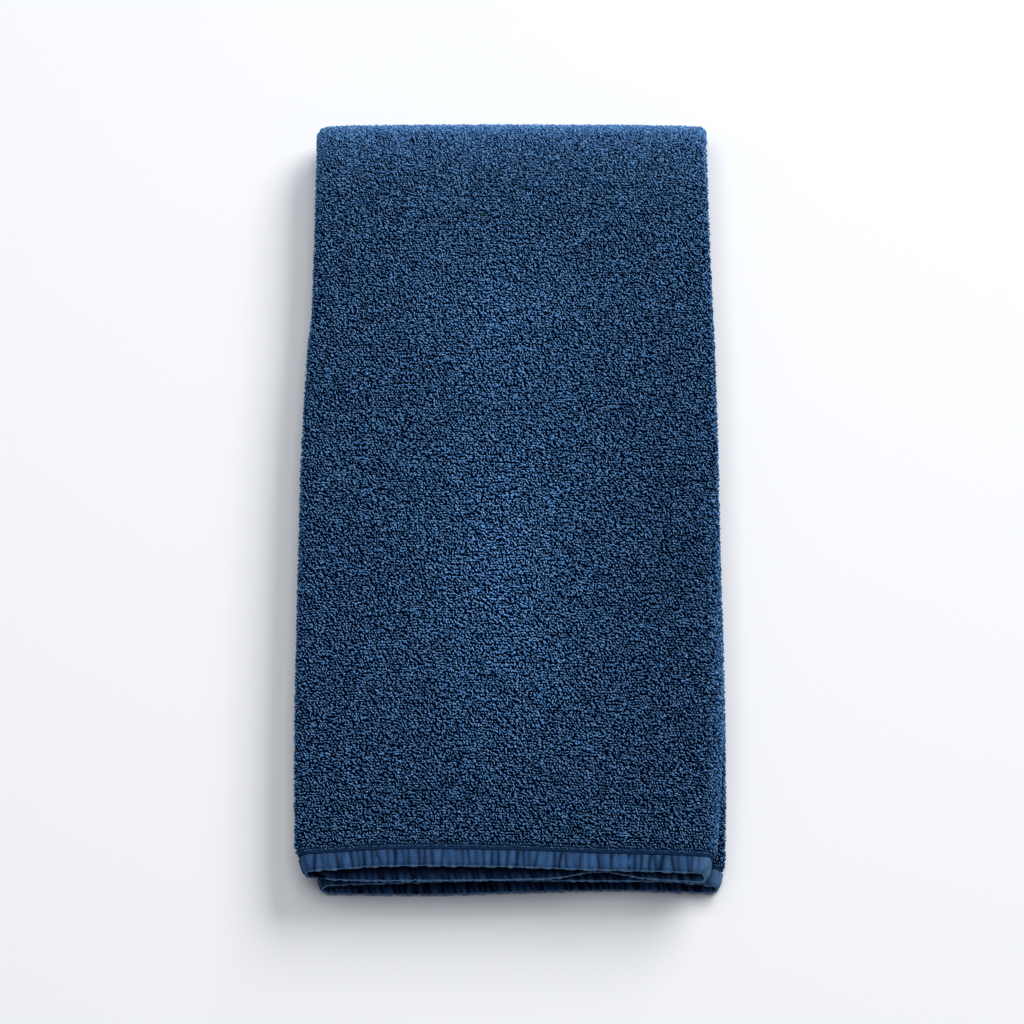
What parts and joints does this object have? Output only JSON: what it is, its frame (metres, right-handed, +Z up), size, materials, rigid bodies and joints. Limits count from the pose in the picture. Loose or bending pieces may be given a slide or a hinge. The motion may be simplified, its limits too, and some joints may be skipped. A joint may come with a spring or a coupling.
{
  "type": "tea towel",
  "caption": "Terry tea towel with a puckered bound edge, folded in thirds and then in half so that it lies as a flat oblong stack with its bound edges at one end.",
  "frame": {"origin": "centre of the box's underside, on the surface that the towel rests on", "axes": "+Y along the folded towel from its bound edges to its long fold, +X across it with the left fold at -X, +Z up through the stack of layers"},
  "size_m": [0.1734, 0.3502, 0.0218],
  "materials": {
    "terry": "dark blue loop pile, matt with bright loop tips",
    "tape": "dark blue woven tape, softly puckered"
  },
  "bodies": {
    "root": {"towel": "terry", "binding": "tape"}
  },
  "joints": []
}
